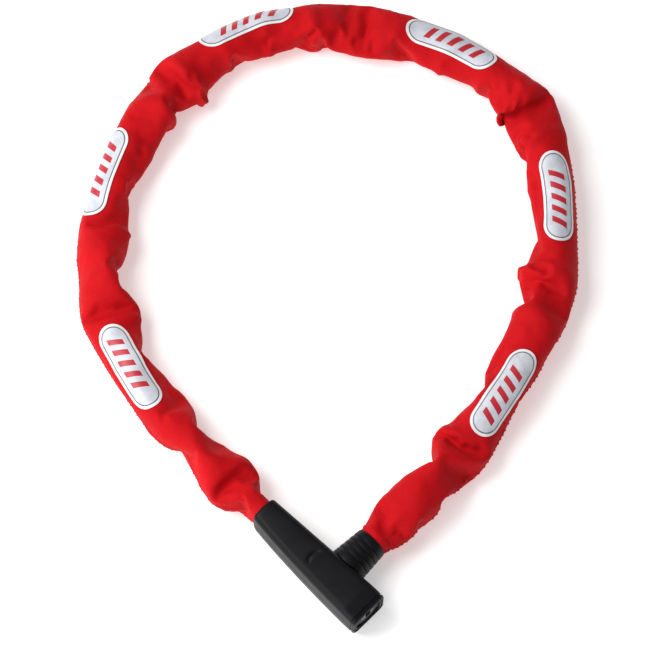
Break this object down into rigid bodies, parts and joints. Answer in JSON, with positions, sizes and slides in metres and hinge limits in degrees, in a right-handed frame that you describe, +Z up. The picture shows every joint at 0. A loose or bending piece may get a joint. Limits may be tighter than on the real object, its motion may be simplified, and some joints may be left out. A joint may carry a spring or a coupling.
{
  "type": "chain lock",
  "caption": "Chain of hardened square links in a woven sleeve; a bolt on its free end plugs into a disc-cylinder lock body.",
  "frame": {"origin": "where the lock body's long axis crosses the bolt's axis, at mid-thickness", "axes": "+Z up from the surface that the loop lies on; the loop lies in the XY plane on the +Y side of the lock body; the body's long axis points 48 degrees clockwise of +X"},
  "size_m": [0.2546, 0.346, 0.0273],
  "materials": {
    "black_plastic": "satin black moulded plastic with a fine grain",
    "red_textile": "bright red woven polyester tube",
    "reflective_film": "white reflective print with a pale edge",
    "chain_steel": "hardened and tumbled square link steel",
    "hardened_steel": "ground hardened steel",
    "steel": "machined steel",
    "plug_steel": "blackened steel",
    "brass": "machined brass"
  },
  "bodies": {
    "lock_body": {"casing_top": "black_plastic", "casing_bottom": "black_plastic", "end_bezel": "black_plastic", "lock_core": "steel", "core_cover": "steel", "casing_screws": "steel", "cylinder_housing": "brass", "cylinder_clip": "steel", "drill_guard": "hardened_steel", "tail_anchor_pin": "hardened_steel", "tail_sleeve_clamp": "steel", "link_01": "chain_steel", "textile_sleeve": "red_textile", "reflective_patches": "reflective_film"},
    "cylinder_plug": {"disc_carrier": "plug_steel", "detainer_discs": "brass", "spacer_washers": "steel", "sidebar": "hardened_steel", "drive_cam": "steel"},
    "slider": {"locking_slider": "hardened_steel"},
    "bolt": {"end_bolt": "hardened_steel", "bolt_collar": "black_plastic", "collar_anchor_pin": "hardened_steel", "collar_sleeve_clamp": "steel"},
    "link_02": {"link_02": "chain_steel"},
    "link_03": {"link_03": "chain_steel"},
    "link_04": {"link_04": "chain_steel"},
    "link_05": {"link_05": "chain_steel"},
    "link_06": {"link_06": "chain_steel"},
    "link_07": {"link_07": "chain_steel"},
    "link_08": {"link_08": "chain_steel"},
    "link_09": {"link_09": "chain_steel"},
    "link_10": {"link_10": "chain_steel"},
    "link_11": {"link_11": "chain_steel"},
    "link_12": {"link_12": "chain_steel"},
    "link_13": {"link_13": "chain_steel"},
    "link_14": {"link_14": "chain_steel"},
    "link_15": {"link_15": "chain_steel"},
    "link_16": {"link_16": "chain_steel"},
    "link_17": {"link_17": "chain_steel"},
    "link_18": {"link_18": "chain_steel"},
    "link_19": {"link_19": "chain_steel"},
    "link_20": {"link_20": "chain_steel"},
    "link_21": {"link_21": "chain_steel"},
    "link_22": {"link_22": "chain_steel"},
    "link_23": {"link_23": "chain_steel"},
    "link_24": {"link_24": "chain_steel"},
    "link_25": {"link_25": "chain_steel"},
    "link_26": {"link_26": "chain_steel"},
    "link_27": {"link_27": "chain_steel"},
    "link_28": {"link_28": "chain_steel"},
    "link_29": {"link_29": "chain_steel"},
    "link_30": {"link_30": "chain_steel"}
  },
  "joints": [
    {"name": "bolt_slide", "type": "slide", "parent": "lock_body", "child": "bolt", "axis": [0.7431, 0.6691, 0], "range_m": [0, 0.018], "deforming": ["textile_sleeve", "reflective_patches"]},
    {"name": "key_turn", "type": "hinge", "parent": "lock_body", "child": "cylinder_plug", "pos_m": [0.00937, -0.0104, 0], "axis": [-0.6691, 0.7431, 0], "range_deg": [0, 90]},
    {"name": "slider_lift", "type": "slide", "parent": "lock_body", "child": "slider", "axis": [0, 0, 1], "range_m": [0, 0.00284]},
    {"name": "link_02_swing", "type": "hinge", "parent": "lock_body", "child": "link_02", "pos_m": [-0.04421, 0.0491, 0], "axis": [0, 0, 1], "range_deg": [-3.47, 0]},
    {"name": "link_08_swing", "type": "hinge", "parent": "link_07", "child": "link_08", "pos_m": [-0.10728, 0.18073, 0], "axis": [0, 0, 1], "range_deg": [0, 4.13]},
    {"name": "link_30_swing", "type": "hinge", "parent": "bolt", "child": "link_30", "pos_m": [0.02806, 0.02527, 0], "axis": [0, 0, 1], "range_deg": [-1.62, 0]},
    {"name": "link_29_swing", "type": "hinge", "parent": "link_30", "child": "link_29", "pos_m": [0.042, 0.03781, 0], "axis": [0, 0, 1], "range_deg": [0, 1.23]},
    {"name": "link_23_swing", "type": "hinge", "parent": "link_24", "child": "link_23", "pos_m": [0.121, 0.16327, 0], "axis": [0, 0, 1], "range_deg": [0, 3.74]},
    {"name": "link_03_fold", "type": "hinge", "parent": "link_02", "child": "link_03", "pos_m": [-0.06011, 0.06839, 0], "axis": [0.9946, -0.1037, 0], "range_deg": [0, 9], "deforming": ["textile_sleeve", "reflective_patches"]},
    {"name": "link_28_fold", "type": "hinge", "parent": "link_29", "child": "link_28", "pos_m": [0.05921, 0.05595, 0], "axis": [0.9946, -0.1037, 0], "range_deg": [0, 9.02]},
    {"name": "link_04_fold", "type": "hinge", "parent": "link_03", "child": "link_04", "pos_m": [-0.07165, 0.08316, 0], "axis": [0.9998, -0.0197, 0], "range_deg": [0, 12], "deforming": ["textile_sleeve", "reflective_patches"]},
    {"name": "link_27_fold", "type": "hinge", "parent": "link_28", "child": "link_27", "pos_m": [0.07885, 0.0802, 0], "axis": [0.9998, -0.0197, 0], "range_deg": [0, 12.02]},
    {"name": "link_05_fold", "type": "hinge", "parent": "link_04", "child": "link_05", "pos_m": [-0.08921, 0.1089, 0], "axis": [0.9973, -0.0739, 0], "range_deg": [0, 14], "deforming": ["textile_sleeve", "reflective_patches"]},
    {"name": "link_26_fold", "type": "hinge", "parent": "link_27", "child": "link_26", "pos_m": [0.08947, 0.09566, 0], "axis": [0.9973, -0.0739, 0], "range_deg": [0, 14.02]},
    {"name": "link_06_fold", "type": "hinge", "parent": "link_05", "child": "link_06", "pos_m": [-0.09728, 0.12582, 0], "axis": [0.9999, -0.0155, 0], "range_deg": [0, 16], "deforming": ["textile_sleeve", "reflective_patches"]},
    {"name": "link_25_fold", "type": "hinge", "parent": "link_26", "child": "link_25", "pos_m": [0.10507, 0.12269, 0], "axis": [0.9999, -0.0155, 0], "range_deg": [0, 16.02]},
    {"name": "link_07_fold", "type": "hinge", "parent": "link_06", "child": "link_07", "pos_m": [-0.10532, 0.1558, 0], "axis": [0.9973, -0.0739, 0], "range_deg": [0, 18], "deforming": ["textile_sleeve", "reflective_patches"]},
    {"name": "link_24_fold", "type": "hinge", "parent": "link_25", "child": "link_24", "pos_m": [0.11314, 0.13961, 0], "axis": [0.9973, -0.0739, 0], "range_deg": [0, 18.02]},
    {"name": "link_09_fold", "type": "hinge", "parent": "link_08", "child": "link_09", "pos_m": [-0.10355, 0.20537, 0], "axis": [0.9971, -0.0757, 0], "range_deg": [0, 18], "deforming": ["textile_sleeve", "reflective_patches"]},
    {"name": "link_22_fold", "type": "hinge", "parent": "link_23", "child": "link_22", "pos_m": [0.12383, 0.18811, 0], "axis": [0.9971, -0.0757, 0], "range_deg": [0, 18.02]},
    {"name": "link_10_fold", "type": "hinge", "parent": "link_09", "child": "link_10", "pos_m": [-0.09822, 0.22335, 0], "axis": [0.9998, -0.019, 0], "range_deg": [0, 18], "deforming": ["textile_sleeve", "reflective_patches"]},
    {"name": "link_21_fold", "type": "hinge", "parent": "link_22", "child": "link_21", "pos_m": [0.12221, 0.21915, 0], "axis": [0.9998, -0.019, 0], "range_deg": [0, 18.02]},
    {"name": "link_11_fold", "type": "hinge", "parent": "link_10", "child": "link_11", "pos_m": [-0.08413, 0.251, 0], "axis": [0.9978, -0.0668, 0], "range_deg": [0, 15], "deforming": ["textile_sleeve", "reflective_patches"]},
    {"name": "link_20_fold", "type": "hinge", "parent": "link_21", "child": "link_20", "pos_m": [0.11815, 0.23746, 0], "axis": [0.9978, -0.0668, 0], "range_deg": [0, 15.02]},
    {"name": "link_12_fold", "type": "hinge", "parent": "link_11", "child": "link_12", "pos_m": [-0.07271, 0.26588, 0], "axis": [1, -0.0097, 0], "range_deg": [0, 12], "deforming": ["textile_sleeve", "reflective_patches"]},
    {"name": "link_19_fold", "type": "hinge", "parent": "link_20", "child": "link_19", "pos_m": [0.10303, 0.26418, 0], "axis": [1, -0.0097, 0], "range_deg": [0, 12.02]},
    {"name": "link_13_fold", "type": "hinge", "parent": "link_12", "child": "link_13", "pos_m": [-0.04965, 0.28665, 0], "axis": [0.9976, -0.0686, 0], "range_deg": [0, 11], "deforming": ["textile_sleeve", "reflective_patches"]},
    {"name": "link_18_fold", "type": "hinge", "parent": "link_19", "child": "link_18", "pos_m": [0.08943, 0.27709, 0], "axis": [0.9976, -0.0686, 0], "range_deg": [0, 11.02]},
    {"name": "link_14_fold", "type": "hinge", "parent": "link_13", "child": "link_14", "pos_m": [-0.03366, 0.29645, 0], "axis": [0.9988, -0.0491, 0], "range_deg": [0, 9], "deforming": ["textile_sleeve", "reflective_patches"]},
    {"name": "link_17_fold", "type": "hinge", "parent": "link_18", "child": "link_17", "pos_m": [0.06219, 0.29174, 0], "axis": [0.9988, -0.0491, 0], "range_deg": [0, 9.02]},
    {"name": "link_15_fold", "type": "hinge", "parent": "link_14", "child": "link_15", "pos_m": [-0.00393, 0.30413, 0], "axis": [0.9912, -0.1322, 0], "range_deg": [0, 8.5], "deforming": ["textile_sleeve", "reflective_patches"]},
    {"name": "link_16_fold", "type": "hinge", "parent": "link_17", "child": "link_16", "pos_m": [0.04441, 0.29769, 0], "axis": [0.9912, -0.1322, 0], "range_deg": [0, 8.52]}
  ],
  "couplings": [
    {"joint": "slider_lift", "follows": "key_turn", "m_per_rad": 0.0018006},
    {"joint": "link_02_swing", "follows": "bolt_slide", "rad_per_m": -3.349},
    {"joint": "link_08_swing", "follows": "bolt_slide", "rad_per_m": 3.9842},
    {"joint": "link_30_swing", "follows": "bolt_slide", "rad_per_m": -1.5558},
    {"joint": "link_29_swing", "follows": "bolt_slide", "rad_per_m": 1.1722},
    {"joint": "link_23_swing", "follows": "bolt_slide", "rad_per_m": 3.6071},
    {"joint": "link_28_fold", "follows": "link_03_fold", "ratio": 1},
    {"joint": "link_27_fold", "follows": "link_04_fold", "ratio": 1},
    {"joint": "link_26_fold", "follows": "link_05_fold", "ratio": 1},
    {"joint": "link_25_fold", "follows": "link_06_fold", "ratio": 1},
    {"joint": "link_24_fold", "follows": "link_07_fold", "ratio": 1},
    {"joint": "link_22_fold", "follows": "link_09_fold", "ratio": 1},
    {"joint": "link_21_fold", "follows": "link_10_fold", "ratio": 1},
    {"joint": "link_20_fold", "follows": "link_11_fold", "ratio": 1},
    {"joint": "link_19_fold", "follows": "link_12_fold", "ratio": 1},
    {"joint": "link_18_fold", "follows": "link_13_fold", "ratio": 1},
    {"joint": "link_17_fold", "follows": "link_14_fold", "ratio": 1},
    {"joint": "link_16_fold", "follows": "link_15_fold", "ratio": 1}
  ]
}
